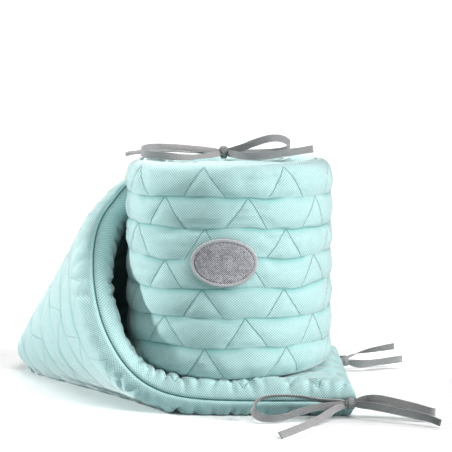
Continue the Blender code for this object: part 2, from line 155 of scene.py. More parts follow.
# ---------------------------------------------------------------- patch and ties
PATCH_HALF = (0.044, 0.032) # half the oval patch's length and height
PATCH_CENTRE_X = -0.003
PATCH_CENTRE_Z = 0.206
PATCH_THICK = 0.0016
PATCH_MARGIN = 0.006
PATCH_FADE = 1.25
STITCH_INSET = 0.0052       # the patch's stitching runs this far in from its edge
STITCH_SEAT = 0.0012        # and this far over its back
STITCH_LENGTH = 0.0030
STITCH_HALF = 0.00045
STITCH_COUNT = 52
STITCH_SIDES = 8
STITCH_RINGS = 7
STITCH_END = 0.02           # a thread's end keeps the root of this share of its thickness

TIE_WIDTH = 0.0100          # flat cloth tape
TIE_THICK = 0.0014
TIE_STEP = 0.0022           # between two sections of a tie
SPLINE_FINE = 24            # points on a curve between two rows, before its even steps are taken
STRAND_CUP = 0.05           # the tape's section is cupped by this share of its width
WRAP_CUP = -0.06
CUP_MIDDLE = 0.33
GATHER_REACH = 0.013        # near its knot a strand is gathered
GATHER_NARROW = 0.42
GATHER_THICK = 1.3
TAPE_UNEVEN = 0.04
TAPE_WAVE = 0.012
TAPE_APART = 0.37           # one strand's weave is this far from the next one's in the pattern
HEM_FOLD = (0.0085, 0.0070)     # a free end's hem begins this far from its end
HEM_THICK = 0.55
WRAPS = (
    # slant, width of the tape, size round the knot
    (0.30, 0.0068, 1.00),
    (-0.45, 0.0058, 0.86),
)
WRAP_STEPS = 30
WRAP_THICK = 1.35
WRAP_LEAN = 0.25
WRAP_UNEVEN = 0.10
WRAP_LENGTH = 0.007         # the weave's scale round a wrap
SEAT_GAP = 0.0005           # between two pieces that touch

# ---------------------------------------------------------------- derived sizes
INNER_DEPTH = BAND_THICK - FACE_DEPTH
APEX_Y = FRONT_EDGE_Y + BAND_WIDTH + APEX_BEHIND
APEX = np.array([APEX_X, APEX_Y, FACE_DEPTH])
APEX_S = FREE_END_X - APEX_X
CONE_HALF_ANGLE = math.atan(math.sin(CONE_START))
CONE_FIRST = np.array([math.cos(CONE_START), -math.sin(CONE_START), 0.0])
CONE_AXIS = math.cos(CONE_HALF_ANGLE) * CONE_FIRST + np.array([0.0, 0.0, math.sin(CONE_HALF_ANGLE)])

TURN_PITCH = BAND_THICK + TURN_GAP
FOLD_RADIUS = ROLL_RADIUS - FACE_DEPTH
ROLL_Y = APEX_Y - FOLD_RADIUS
ROLL_START_S = APEX_S + ROLL_X - APEX_X
ROLL_ANGLE = 2.0 * math.pi * (FOLD_RADIUS - CORE_RADIUS) / TURN_PITCH
ROLL_FLOOR = BAND_THICK + STAND_GAP


def wound_to(angle):
    """Length along the band at which the roll has turned by this angle."""
    return ROLL_START_S + FOLD_RADIUS * angle - TURN_PITCH * angle ** 2 / (4.0 * math.pi)


BAND_LENGTH = wound_to(ROLL_ANGLE)
PATCH_ANGLE = math.pi - math.asin((PATCH_CENTRE_X - ROLL_X) / ROLL_RADIUS)
PATCH_S = wound_to(PATCH_ANGLE)
PATCH_W = BAND_WIDTH + ROLL_FLOOR - PATCH_CENTRE_Z
PATCH_BEND = 1.0 - FACE_DEPTH / (ROLL_RADIUS - 0.5 * TURN_PITCH)


# ---------------------------------------------------------------- small helpers
def smooth(value, low, high):
    """0 below low, 1 above high and an even ease between them."""
    t = np.clip((value - low) / (high - low), 0.0, 1.0)
    return t * t * (3.0 - 2.0 * t)


def drift(x, y, seed, size=64):
    """Smooth random field between -1 and 1, with a new value at each whole number."""
    knots = np.random.default_rng(seed).uniform(-1.0, 1.0, (size, size))
    i = np.floor(x).astype(int)
    j = np.floor(y).astype(int)
    u = smooth(x - i, 0.0, 1.0)
    v = smooth(y - j, 0.0, 1.0)
    i, j = i % size, j % size
    after_i, after_j = (i + 1) % size, (j + 1) % size
    low = knots[i, j] * (1.0 - u) + knots[after_i, j] * u
    high = knots[i, after_j] * (1.0 - u) + knots[after_i, after_j] * u
    return low * (1.0 - v) + high * v


def wave(s, w, name, side=0):
    """A slow random change over the band, between -1 and 1; each cover may have its own."""
    along, across, start_s, start_w, seed = WAVES[name]
    return drift(s / along + start_s, w / across + start_w, seed + side)


def turned(vector, axis, angle):
    """vector turned about a unit axis, for an array of angles."""
    cosine = np.cos(angle)[..., None]
    sine = np.sin(angle)[..., None]
    along = axis * float(np.dot(axis, vector))
    return vector * cosine + np.cross(axis, vector) * sine + along * (1.0 - cosine)


# ---------------------------------------------------------------- the surface that the band is bent to
def cone_fold(s, w):
    """Soft fold: flat on the floor, round a cone that sags a little, up against the back wall."""
    across = BAND_WIDTH + APEX_BEHIND - w
    along = APEX_S - s
    ruling = np.arctan2(across, along)
    reach = np.hypot(across, along)
    last = math.pi - CONE_START
    sweep = (np.clip(ruling, CONE_START, last) - CONE_START) / math.sin(CONE_HALF_ANGLE)
    direction = turned(CONE_FIRST, CONE_AXIS, -sweep)
    zero = np.zeros_like(ruling)
    towards_front = np.stack([np.cos(ruling), -np.sin(ruling), zero], -1)
    upwards = np.stack([-np.cos(ruling), zero, np.sin(ruling)], -1)
    on_floor = (ruling < CONE_START)[..., None]
    on_wall = (ruling > last)[..., None]
    direction = np.where(on_floor, towards_front, np.where(on_wall, upwards, direction))
    direction[..., 2] = sagged(direction[..., 2])
    return APEX + reach[..., None] * direction


def sagged(rise):
    """Height per length of ruling once the padding's weight has lowered it."""
    lowest = 0.5 * (math.hypot(SAG_LOW, SAG_BEND) - SAG_LOW)
    lowered = 0.5 * (rise - SAG_LOW + np.hypot(rise - SAG_LOW, SAG_BEND)) - lowest
    return lowered + SAG_LOW * smooth(rise, *SAG_FADE)


def roll_angle(s):
    """Angle wound at s, measured clockwise from the back; the spiral's length is inverted."""
    length = np.maximum(s - ROLL_START_S, 0.0)
    shrink = TURN_PITCH / (2.0 * math.pi)
    inside = np.maximum(FOLD_RADIUS ** 2 - 2.0 * shrink * length, 0.0)
    return (FOLD_RADIUS - np.sqrt(inside)) / shrink


def upright(s, w):
    """The standing band: straight behind the flat part, then the spiral of the roll."""
    angle = roll_angle(s)
    radius = FOLD_RADIUS - TURN_PITCH * angle / (2.0 * math.pi)
    before = np.minimum(s - ROLL_START_S, 0.0)
    climb = smooth(s - APEX_S, *CLIMB)
    foot = WALL_FOOT + (ROLL_FLOOR - WALL_FOOT) * climb
    x = ROLL_X + before + radius * np.sin(angle)
    y = ROLL_Y + radius * np.cos(angle)
    return np.stack([x, y, foot + BAND_WIDTH - w], -1)


def lying(s, w):
    """The flat part on the floor."""
    x = FREE_END_X - s
    return np.stack([x, FRONT_EDGE_Y + w, np.full_like(x, FACE_DEPTH)], -1)


def fold_surface(s, w):
    """Point of the surface along which the band is bent."""
    free = cone_fold(s, w)
    flat = lying(s, w)
    past = s - APEX_S
    to_free = smooth(past, -SETTLE_FLAT[1], -SETTLE_FLAT[0])[..., None]
    to_wall = smooth(past, *SETTLE_WALL)[..., None]
    point = flat + (free - flat) * to_free
    point = point + (upright(s, w) - point) * to_wall
    beside = smooth(past, *BESIDE_FROM) * (1.0 - smooth(past, *BESIDE_TO))
    lean = LEAN * smooth(-np.abs(past), -LEAN_REACH, 0.0) * smooth(-w, -BAND_WIDTH, 0.0)
    point[..., 1] += BESIDE * beside
    point[..., 0] += lean
    return point


def outward(s, w):
    """Unit normal of the fold surface, towards the outer face of the roll."""
    along = fold_surface(s + NORMAL_STEP, w) - fold_surface(s - NORMAL_STEP, w)
    across = fold_surface(s, w + NORMAL_STEP) - fold_surface(s, w - NORMAL_STEP)
    normal = np.cross(along, across)
    return normal / np.linalg.norm(normal, axis=-1, keepdims=True)


def pressed_height(point):
    """Highest that the flat part may reach: level under the roll, free beside it."""
    angle = np.mod(np.arctan2(point[..., 0] - ROLL_X, point[..., 1] - ROLL_Y), 2.0 * math.pi)
    outside = np.hypot(point[..., 0] - ROLL_X, point[..., 1] - ROLL_Y)
    outside = outside - (ROLL_RADIUS - TURN_PITCH * angle / (2.0 * math.pi))
    return BAND_THICK + PRESS_SLOPE * np.maximum(outside + PRESS_MARGIN, 0.0)


# ---------------------------------------------------------------- quilted relief
def edge_distance(s, w):
    """Distance from the nearest edge seam."""
    return np.minimum(np.minimum(w, BAND_WIDTH - w), np.minimum(s, BAND_LENGTH - s))


def quilt_place(s, w):
    """The place in the straight quilting pattern; on the slack cloth its lines stray a little."""
    astray_s = STRAY_ALONG * wave(s, w, "stray along")
    astray_w = STRAY_ACROSS * wave(s, w, "stray across") + STRAY_FINE * wave(s, w, "stray fine")
    inside = smooth(np.minimum(w, BAND_WIDTH - w), 0.0, STRAY_BORDER)
    return s + astray_s * inside, w + astray_w * inside


def stitch_distances(s, w):
    """Place below the row line above, in metres, and distance from a triangle's nearest side."""
    row = (w - 0.5 * BAND_WIDTH) / QUILT_ROW + 0.5
    index = np.floor(row)
    down = (row - index) * QUILT_ROW
    shift = np.where(np.mod(index, 2.0) == 0.0, 0.0, 0.5 * QUILT_PITCH)
    side = np.abs(np.mod(s + shift + 0.5 * QUILT_PITCH, QUILT_PITCH) - 0.5 * QUILT_PITCH)
    slope = 0.5 * QUILT_BASE / QUILT_ROW
    return down, np.abs(side - down * slope) / math.hypot(1.0, slope)


def relief(s, w, side):
    """How far the cover is drawn in from its full height, over both faces."""
    quilt_s, quilt_w = quilt_place(s, w)
    down, to_side = stitch_distances(quilt_s, quilt_w)
    above = down * (1.0 - OVERHANG)
    below = (QUILT_ROW - down) * (1.0 + OVERHANG)
    to_row = np.minimum(above, below)
    row = ROW_DEPTH * (1.0 - np.clip(to_row / ROW_REACH, 0.0, 1.0) ** ROW_FALL)
    slant = SIDE_DEPTH * (1.0 - np.clip(to_side / SIDE_REACH, 0.0, 1.0) ** SIDE_FALL)
    border = np.minimum(w, BAND_WIDTH - w)
    row = row * smooth(border, *ROW_BORDER)
    slant = slant * smooth(border, *SIDE_BORDER)
    drawn_in = np.hypot(row, slant) - PUFF
    crease = CREASE_DEPTH * np.exp(-(wave(s, w, "crease", side) / CREASE_NARROW) ** 2)
    slack = smooth(wave(s, w, "slack", side), *SLACK_PATCHES)
    fine = FINE_DEPTH * wave(s, w, "fine", side)
    return (drawn_in + crease * slack + fine) * (1.0 - CALM_OUTSIDE * calm(s, side))


def calm(s, side):
    """1 on the outer face of the flap, which is pulled smooth, and 0 on the roll and inside."""
    return np.where(side > 0.0, 1.0 - smooth(s - APEX_S, *CALM_FADE), 0.0)


def puckers(s, w, side):
    """Notches across the rim, where the edge seam gathers the cloth."""
    rng = np.random.default_rng(PUCKER_SEED)
    count = int(BAND_LENGTH / PUCKER_SPACING)
    places = (np.arange(count) + rng.uniform(-PUCKER_STRAY, PUCKER_STRAY, count)) * PUCKER_SPACING
    depths = PUCKER_DEPTH * rng.uniform(PUCKER_LEAST, 1.0, count) ** PUCKER_SPREAD
    depths = depths * smooth(places, 0.0, PUCKER_REACH[1])
    tilts = rng.uniform(-PUCKER_TILT, PUCKER_TILT, count)
    edge = np.minimum(w, BAND_WIDTH - w)
    nearest = np.clip(np.round(s / PUCKER_SPACING).astype(int), 0, count - 1)
    notch = np.zeros_like(s)
    for k in (-1, 0, 1):
        pick = np.clip(nearest + k, 0, count - 1)
        off = s - places[pick] - tilts[pick] * edge
        cusp = np.exp(-(np.abs(off) / PUCKER_HALF) ** PUCKER_SHARPNESS)
        notch = np.maximum(notch, depths[pick] * cusp)
    share = np.where(side > 0.0, PUCKER_SHARE[1], PUCKER_SHARE[0])
    share = share + (PUCKER_SHARE[2] - share) * smooth(s - APEX_S, *PUCKER_FADE)
    return share * notch * (1.0 - smooth(edge, *PUCKER_REACH))


def section_height(s, w):
    """Share of the padding's depth at this place: round edges, full between."""
    t = np.clip(edge_distance(s, w) / EDGE_RADIUS, 0.0, 1.0)
    return np.sqrt(np.clip(1.0 - (1.0 - t) ** 2, 0.0, 1.0))


def from_seam(s, w, side):
    """Distance round the edge from its seam, up to half the padding's thickness."""
    return side * section_height(s, w) * 0.5 * BAND_THICK


def rim_swell(s, w):
    """Extra fullness of the inner cover along the turned-up rim and the flat part's front."""
    past = s - APEX_S
    along = smooth(past, *RIM_SWELL_FROM) * (1.0 - smooth(past, *RIM_SWELL_TO))
    rim = RIM_SWELL * along * (1.0 - smooth(w, *RIM_SWELL_REACH))
    return np.maximum(rim, pad_swell(s, w))


def pad_swell(s, w):
    """Extra fullness that the roll's weight squeezes out along the flat part's front."""
    along = 1.0 - smooth(s - APEX_S, *PAD_SWELL_TO)
    return PAD_SWELL * along * (1.0 - smooth(w, *PAD_SWELL_REACH))


def band_face(s, w, side, quilting=1.0):
    """A point of the cover: side is +1 on the outer face and -1 on the inner one."""
    seam = SEAM_DEPTH * np.exp(-(from_seam(s, w, side) / SEAM_HALF) ** 2)
    inwards = np.where(w < 0.5 * BAND_WIDTH, 1.0, -1.0)
    across = w + seam * inwards
    point = fold_surface(s, across)
    reach = np.hypot(BAND_WIDTH + APEX_BEHIND - w, APEX_S - s)
    inner = np.minimum(INNER_DEPTH, PINCH_SHARE * reach * math.tan(CONE_HALF_ANGLE))
    middle = 0.5 * (FACE_DEPTH - inner)
    half = 0.5 * (FACE_DEPTH + inner)
    roomy = np.clip(inner / INNER_DEPTH, 0.0, 1.0)
    drawn_in = np.where(side > 0.0, relief(s, w, 1), relief(s, w, 0) * roomy)
    drawn_in = drawn_in + puckers(s, w, side)
    swell = np.where(side < 0.0, rim_swell(s, w), 0.0)
    depth = middle + side * section_height(s, w) * (half + swell - drawn_in * quilting)
    placed = point + outward(s, across) * depth[..., None]
    height = placed[..., 2]
    highest = np.where(s < APEX_S, pressed_height(placed) + pad_swell(s, w), height)
    height = np.minimum(height, highest)
    placed[..., 2] = height * smooth(height, *FLOOR_PRESS)
    return placed


def under_patch(s, w):
    """1 where the patch is sewn on, fading to 0 beyond its margin."""
    along = (s - PATCH_S) / (PATCH_BEND * (PATCH_HALF[0] + PATCH_MARGIN))
    across = (w - PATCH_W) / (PATCH_HALF[1] + PATCH_MARGIN)
    return 1.0 - smooth(np.hypot(along, across), 1.0, PATCH_FADE)


# ---------------------------------------------------------------- mesh helpers
WELD = 0.000002             # points nearer to each other than this are one point


def placed_object(name, data):
    """An object of this data in the scene."""
    thing = bpy.data.objects.new(name, data)
    bpy.context.collection.objects.link(thing)
    return thing


def to_object(name, points, faces, places):
    """A smooth-shaded mesh object; places holds what its material's pattern is laid out by."""
    data = bpy.data.meshes.new(name)
    data.from_pydata(np.asarray(points).tolist(), [], [tuple(face) for face in faces])
    for title, vectors in places.items():
        attribute = data.attributes.new(title, "FLOAT_VECTOR", "POINT")
        attribute.data.foreach_set("vector", np.asarray(vectors, dtype=np.float32).ravel())
    mesh = bmesh.new()
    mesh.from_mesh(data)
    bmesh.ops.remove_doubles(mesh, verts=mesh.verts, dist=WELD)
    bmesh.ops.recalc_face_normals(mesh, faces=mesh.faces)
    mesh.to_mesh(data)
    mesh.free()
    data.shade_smooth()
    return placed_object(name, data)


def ring_faces(rings, around, first=0, closed=False):
    """Faces between rings of equal length that follow one another."""
    faces = []
    for k in range(rings if closed else rings - 1):
        low = first + k * around
        high = first + (k + 1) % rings * around
        for j in range(around):
            after = (j + 1) % around
            faces.append((low + j, low + after, high + after, high + j))
    return faces


def end_faces(rings, around, first=0):
    """The two faces that close the first ring and the last."""
    last = first + (rings - 1) * around
    return [tuple(range(first, first + around)), tuple(range(last, last + around))]


# ---------------------------------------------------------------- the band
def stepped(start, stop, table):
    """Places from start to stop, in the steps that the table gives for each stretch."""
    places = [start]
    for until, step in table:
        span = min(until, stop) - places[-1]
        count = int(round(span / step))
        if count > 0:
            places += list(places[-1] + span * np.arange(1, count + 1) / count)
    return np.array(places)


def laid_across(w):
    """Length of cloth from the front edge's seam, with the way round both rounded edges."""
    round_edge = 0.5 * (EDGE_RADIUS + 0.5 * BAND_THICK)
    near = np.clip(w / EDGE_RADIUS, 0.0, 1.0)
    far = np.clip((BAND_WIDTH - w) / EDGE_RADIUS, 0.0, 1.0)
    between = np.clip(w, EDGE_RADIUS, BAND_WIDTH - EDGE_RADIUS)
    return round_edge * (np.arccos(1.0 - near) - np.arccos(1.0 - far)) + between


def build_band():
    """The padded band: rings of its section, from the free end to the roll's core."""
    ends = EDGE_RADIUS * (1.0 - np.cos(np.radians(EDGE_TURNS)))
    middle = stepped(ends[-1], BAND_LENGTH - ends[-1], LONG_STEPS)
    steps = np.concatenate([ends[:-1], middle, BAND_LENGTH - ends[-2::-1]])
    outer = stepped(ends[-1], BAND_WIDTH - ends[-1], ((1.0, OUTER_STEP),))
    inner = stepped(ends[-1], BAND_WIDTH - ends[-1], INNER_STEPS)[::-1]
    near, far = ends[1:-1], BAND_WIDTH - ends[-2:0:-1]
    outer = np.concatenate([near, outer, far])
    inner = np.concatenate([far[::-1], inner, near[::-1]])
    ring_w = np.concatenate([[0.0], outer, [BAND_WIDTH], inner])
    ring_side = np.concatenate([[0.0], np.ones(len(outer)), [0.0], -np.ones(len(inner))])
    s, w = np.meshgrid(steps, ring_w, indexing="ij")
    side = np.broadcast_to(ring_side, s.shape)
    points = band_face(s, w, side, 1.0 - under_patch(s, w) * (side > 0.0))
    quilt_s, quilt_w = quilt_place(s, w)
    laid = np.stack([quilt_s, quilt_w, from_seam(s, w, side)], -1)
    woven = np.stack([s, laid_across(w), WEAVE_APART * side], -1)
    pulled = np.stack([calm(s, side), side, np.zeros_like(s)], -1)
    places = {"laid": laid, "woven": woven, "pulled": pulled}
    faces = ring_faces(len(steps), len(ring_w))
    return to_object("quilted_band", points.reshape(-1, 3), faces, places)


# ---------------------------------------------------------------- the patch
PATCH_RINGS = (
    # distance in from the oval's edge, height of the top face above the patch's back
    (0.0300, 0.0016),
    (0.0240, 0.0017),
    (0.0180, 0.0017),
    (0.0130, 0.0017),
    (0.0090, 0.0018),
    (0.0068, 0.0018),
    (0.0058, 0.0015),
    (0.0052, 0.0012),
    (0.0046, 0.0015),
    (0.0036, 0.0020),
    (0.0022, 0.0023),
    (0.0010, 0.0021),
    (0.0003, 0.0016),
    (0.0000, 0.0008),
)
PATCH_SIDES = 120


def patch_point(turn, inset, height):
    """A point of the patch: turn round the oval, distance in from its edge, height off its back."""
    x = (PATCH_HALF[0] - inset) * math.cos(turn)
    y = (PATCH_HALF[1] - inset) * math.sin(turn)
    s = np.array([PATCH_S + PATCH_BEND * x])
    w = np.array([PATCH_W - y])
    lift = SEAT_GAP + PUFF + height
    return band_face(s, w, np.array([1.0]), 0.0)[0] + outward(s, w)[0] * lift, (x, y, inset)


def build_patch():
    """The oval patch, bent round the front of the roll, with a rolled rim outside its stitching."""
    turns = [2.0 * math.pi * k / PATCH_SIDES for k in range(PATCH_SIDES)]
    rings = list(PATCH_RINGS) + [(inset, 0.0) for inset, _ in PATCH_RINGS[::-1]]
    made = [patch_point(turn, inset, height) for inset, height in rings for turn in turns]
    points = [point for point, _ in made]
    places = [place for _, place in made]
    faces = ring_faces(len(rings), PATCH_SIDES)
    last = len(points)
    for ring, height in ((0, PATCH_THICK), (len(rings) - 1, 0.0)):
        from_right, _ = patch_point(0.0, PATCH_HALF[0], height)
        from_top, _ = patch_point(0.5 * math.pi, PATCH_HALF[1], height)
        points.append(0.5 * (from_right + from_top))
        places.append((0.0, 0.0, PATCH_HALF[1]))
        start = ring * PATCH_SIDES
        faces += [(start + k, start + (k + 1) % PATCH_SIDES, last) for k in range(PATCH_SIDES)]
        last += 1
    return to_object("oval_patch", points, faces, {"laid": places})


def build_patch_stitches():
    """The running stitch round the patch: small plump threads sunk into its groove."""
    points, faces = [], []
    for k in range(STITCH_COUNT):
        turn = 2.0 * math.pi * k / STITCH_COUNT
        bend = math.hypot(PATCH_HALF[0] * math.sin(turn), PATCH_HALF[1] * math.cos(turn))
        reach = 0.5 * STITCH_LENGTH / bend
        start, end, low, high = (
            Vector(patch_point(turn + way * reach, STITCH_INSET, STITCH_SEAT + lift)[0])
            for way, lift in ((-1.0, 0.0), (1.0, 0.0), (0.0, 0.0), (0.0, 0.01)))
        up = (high - low).normalized()
        along = (end - start) * 0.5
        middle = (end + start) * 0.5
        wide = along.cross(up).normalized()
        first = len(points)
        for j in range(STITCH_RINGS):
            place = -1.0 + 2.0 * j / (STITCH_RINGS - 1)
            plump = STITCH_HALF * math.sqrt(max(1.0 - place ** 4, STITCH_END))
            sink = -0.5 * STITCH_HALF * place ** 2
            for i in range(STITCH_SIDES):
                angle = 2.0 * math.pi * i / STITCH_SIDES
                off = wide * (math.cos(angle) * plump) + up * (math.sin(angle) * plump + sink)
                points.append(middle + along * place + off)
        faces += ring_faces(STITCH_RINGS, STITCH_SIDES, first)
        faces += end_faces(STITCH_RINGS, STITCH_SIDES, first)
    return to_object("patch_stitches", points, faces, {})


# ---------------------------------------------------------------- the ties
TAPE_SECTION = (
    # place across the tape, share of its half thickness
    (-1.00, 0.00), (-0.975, 0.62), (-0.90, 1.00), (-0.80, 0.95), (-0.72, 0.55), (-0.64, 0.85),
    (-0.30, 0.90), (0.0, 0.92), (0.30, 0.90), (0.64, 0.85), (0.72, 0.55), (0.80, 0.95),
    (0.90, 1.00), (0.975, 0.62),
)


def spline(rows, step):
    """Even steps along a smooth curve through given rows of x, y, z, lean."""
    rows = np.array(rows, dtype=float)
    ends = np.vstack([2.0 * rows[0] - rows[1], rows, 2.0 * rows[-1] - rows[-2]])
    fine = []
    for a, b, c, d in zip(ends[:-3], ends[1:-2], ends[2:-1], ends[3:]):
        for t in np.linspace(0.0, 1.0, SPLINE_FINE, endpoint=False):
            fine.append(0.5 * (2.0 * b + (c - a) * t + (2.0 * a - 5.0 * b + 4.0 * c - d) * t ** 2
                               + (3.0 * b - a - 3.0 * c + d) * t ** 3))
    fine = np.array(fine + [rows[-1]])
    length = np.concatenate([[0.0], np.cumsum(np.linalg.norm(np.diff(fine[:, :3], axis=0), axis=1))])
    count = max(3, int(round(length[-1] / step)) + 1)
    even = np.linspace(0.0, length[-1], count)
    return np.stack([np.interp(even, length, fine[:, k]) for k in range(4)], -1), even


class Tape:
    """Lengths of flat tape gathered into one mesh."""

    def __init__(self, seed):
        self.points = []
        self.places = []
        self.faces = []
        self.length = 0.0
        self.seed = seed

    def add(self, path, wides, widths, thick, along, closed=False, cup=0.0):
        """One length: its centre line, the way across it, its width and thickness at each place."""
        sections = TAPE_SECTION + tuple((-a, -b) for a, b in TAPE_SECTION)
        around = len(sections)
        first = len(self.points)
        count = len(path)
        for k in range(count):
            before = path[(k - 1) % count if closed else max(k - 1, 0)]
            after = path[(k + 1) % count if closed else min(k + 1, count - 1)]
            ahead = Vector(after - before).normalized()
            wide = Vector(wides[k])
            wide = (wide - ahead * wide.dot(ahead)).normalized()
            up = ahead.cross(wide)
            for across, height in sections:
                bulge = cup * widths[k] * (across ** 2 - CUP_MIDDLE)
                off = wide * (0.5 * widths[k] * across) + up * (0.5 * thick[k] * height + bulge)
                self.points.append(Vector(path[k]) + off)
                self.places.append((across, along[k], 1.0 if height > 0.0 else -1.0))
        self.faces += ring_faces(count, around, first, closed)
        if not closed:
            self.faces += end_faces(count, around, first)
        self.length += float(np.linalg.norm(np.diff(path, axis=0), axis=1).sum())

    def strand(self, rows, knot, free_end):
        """A loop or a free end, gathered where it enters the knot and hemmed where it ends."""
        line, along = spline(rows, TIE_STEP)
        path = line[:, :3]
        wides = []
        for k, (_, _, _, lean) in enumerate(line):
            ahead = Vector(path[min(k + 1, len(path) - 1)] - path[max(k - 1, 0)]).normalized()
            level = ahead.cross(Vector((0.0, 0.0, 1.0))).normalized()
            angle = math.radians(lean)
            wides.append(level.cross(ahead) * math.cos(angle) + level * math.sin(angle))
        near = np.linalg.norm(path - np.array(knot[:3]), axis=1)
        gather = np.exp(-(near / GATHER_REACH) ** 2)
        self.seed += 1
        uneven = TAPE_UNEVEN * drift(along / TAPE_WAVE, np.zeros_like(along), self.seed)
        widths = TIE_WIDTH * (1.0 - GATHER_NARROW * gather + uneven)
        thick = TIE_THICK * (1.0 + GATHER_THICK * gather)
        if free_end:
            hem = smooth(along, along[-1] - HEM_FOLD[0], along[-1] - HEM_FOLD[1])
            thick = thick * (1.0 + HEM_THICK * hem)
        self.add(path, wides, widths, thick, along + TAPE_APART * self.seed, cup=STRAND_CUP)

    def wrap(self, knot, axis, tilt, width, swell):
        """One slanting turn of tape round the knot."""
        axis = Vector(axis).normalized()
        side = axis.cross(Vector((0.0, 0.0, 1.0))).normalized()
        up = side.cross(axis)
        half = Vector(knot[3:])
        turns = np.linspace(0.0, 2.0 * math.pi, WRAP_STEPS, endpoint=False)
        path, wides = [], []
        for turn in turns:
            across, rise = math.cos(turn), math.sin(turn)
            off = side * (across * half.y * swell) + up * (rise * half.z * swell)
            path.append(np.array(Vector(knot[:3]) + off + axis * (tilt * across * half.x)))
            wides.append(axis + side * (WRAP_LEAN * tilt * rise))
        widths = width * (1.0 + WRAP_UNEVEN * np.sin(3.0 * turns))
        thick = np.full(len(turns), WRAP_THICK * TIE_THICK)
        self.add(np.array(path), wides, widths, thick, turns * WRAP_LENGTH, closed=True, cup=WRAP_CUP)

    def build(self, name):
        """All its lengths as one object."""
        return to_object(name, self.points, self.faces, {"laid": self.places})


# a knot: its middle, then half its size along the knot's axis, across it and upwards
TOP_KNOT = (-0.006, -0.050, 0.3475, 0.0065, 0.0065, 0.0080)
TOP_STRANDS = (
    # x, y, z, lean of the tape off upright: the left loop
    ((-0.008, -0.048, 0.3475, 30), (-0.039, -0.030, 0.3505, 42), (-0.068, -0.020, 0.353, 48),
     (-0.099, -0.020, 0.354, 40), (-0.116, -0.035, 0.352, 15), (-0.120, -0.055, 0.348, 0),
     (-0.111, -0.075, 0.346, 0), (-0.086, -0.090, 0.3445, -10), (-0.062, -0.095, 0.343, -40),
     (-0.038, -0.080, 0.343, -60), (-0.008, -0.052, 0.3465, -30)),
    # the left free end
    ((-0.008, -0.050, 0.3465, 60), (-0.050, -0.012, 0.3475, 60), (-0.090, 0.002, 0.348, 60),
     (-0.119, 0.006, 0.346, 62), (-0.147, 0.006, 0.342, 65)),
    # the right loop
    ((-0.004, -0.050, 0.348, -10), (0.017, -0.056, 0.353, 0), (0.037, -0.060, 0.361, 0),
     (0.058, -0.060, 0.367, 0), (0.075, -0.052, 0.366, 0), (0.086, -0.037, 0.358, 0),
     (0.081, -0.022, 0.349, 0), (0.050, -0.018, 0.345, 0), (-0.002, -0.046, 0.3465, 20)),
    # the right free end
    ((-0.004, -0.052, 0.3465, 0), (0.022, -0.082, 0.344, 0), (0.046, -0.088, 0.344, 0),
     (0.078, -0.083, 0.348, 0), (0.117, -0.070, 0.353, -5)),
)

FRONT_KNOT = (0.161, -0.190, 0.0215, 0.0065, 0.0060, 0.0070)
FRONT_STRANDS = (
    # x, y, z, lean of the tape off upright: the left loop
    ((0.159, -0.190, 0.022, -20), (0.122, -0.195, 0.0265, -50), (0.095, -0.198, 0.032, -60),
     (0.068, -0.201, 0.034, -60), (0.044, -0.203, 0.031, -50), (0.033, -0.208, 0.0205, -30),
     (0.038, -0.214, 0.0110, -20), (0.052, -0.217, 0.0080, 0), (0.070, -0.216, 0.0090, 10),
     (0.095, -0.208, 0.0150, 10), (0.122, -0.200, 0.0195, 10), (0.159, -0.192, 0.021, 0)),
    # the left free end
    ((0.159, -0.191, 0.021, 20), (0.141, -0.199, 0.0160, 20), (0.123, -0.214, 0.0090, 30),
     (0.099, -0.243, 0.0055, 40), (0.065, -0.288, 0.0055, 40)),
    # the right loop
    ((0.163, -0.190, 0.022, 0), (0.179, -0.194, 0.0280, 0), (0.195, -0.199, 0.0300, -10),
     (0.217, -0.203, 0.0265, -10), (0.243, -0.207, 0.0210, -10), (0.266, -0.211, 0.0155, 0),
     (0.269, -0.204, 0.0130, 0), (0.257, -0.198, 0.0130, 0), (0.220, -0.191, 0.0170, 0),
     (0.190, -0.188, 0.0200, 0), (0.163, -0.189, 0.0215, 0)),
    # the right free end
    ((0.163, -0.192, 0.021, 0), (0.190, -0.207, 0.0215, 0), (0.227, -0.219, 0.0165, 0),
     (0.257, -0.229, 0.0120, 5), (0.273, -0.236, 0.0075, 10)),
)

BACK_KNOT = (0.182, 0.100, 0.0160, 0.0070, 0.0070, 0.0075)
BACK_STRANDS = (
    # x, y, z, lean of the tape off upright: the loop
    ((0.182, 0.100, 0.0150, 0), (0.205, 0.094, 0.0115, 0), (0.225, 0.098, 0.0125, 0),
     (0.252, 0.106, 0.0155, 0), (0.270, 0.114, 0.0160, 0), (0.273, 0.123, 0.0140, 0),
     (0.262, 0.127, 0.0110, 0), (0.235, 0.121, 0.0090, 0), (0.205, 0.112, 0.0100, 0),
     (0.182, 0.101, 0.0150, 0)),
    # the free end
    ((0.182, 0.100, 0.0190, 90), (0.195, 0.103, 0.0245, 80), (0.208, 0.108, 0.0280, 60),
     (0.226, 0.115, 0.0300, 30), (0.262, 0.128, 0.0330, 0)),
)

TIES = (
    # object, node, knot, strands, indices of its free ends, the way to its seat, knot's axis
    ("top_bow", "top_tie", TOP_KNOT, TOP_STRANDS, (1, 3), (0.0, 0.0, -1.0), (1.0, -0.15, 0.05)),
    ("front_corner_bow", "front_corner_tie", FRONT_KNOT, FRONT_STRANDS, (1, 3), (0.0, 1.0, 0.0),
     (1.0, -0.1, 0.0)),
    ("back_corner_bow", "back_corner_tie", BACK_KNOT, BACK_STRANDS, (1,), (-1.0, 0.0, 0.0),
     (1.0, 0.2, 0.1)),
)


def seat(piece, way, tree):
    """Move a piece along way until it is SEAT_GAP from the band."""
    way = Vector(way)
    ahead = [tree.ray_cast(vert.co, way)[3] for vert in piece.data.vertices]
    step = way * (min(distance for distance in ahead if distance is not None) - SEAT_GAP)
    for vert in piece.data.vertices:
        vert.co += step


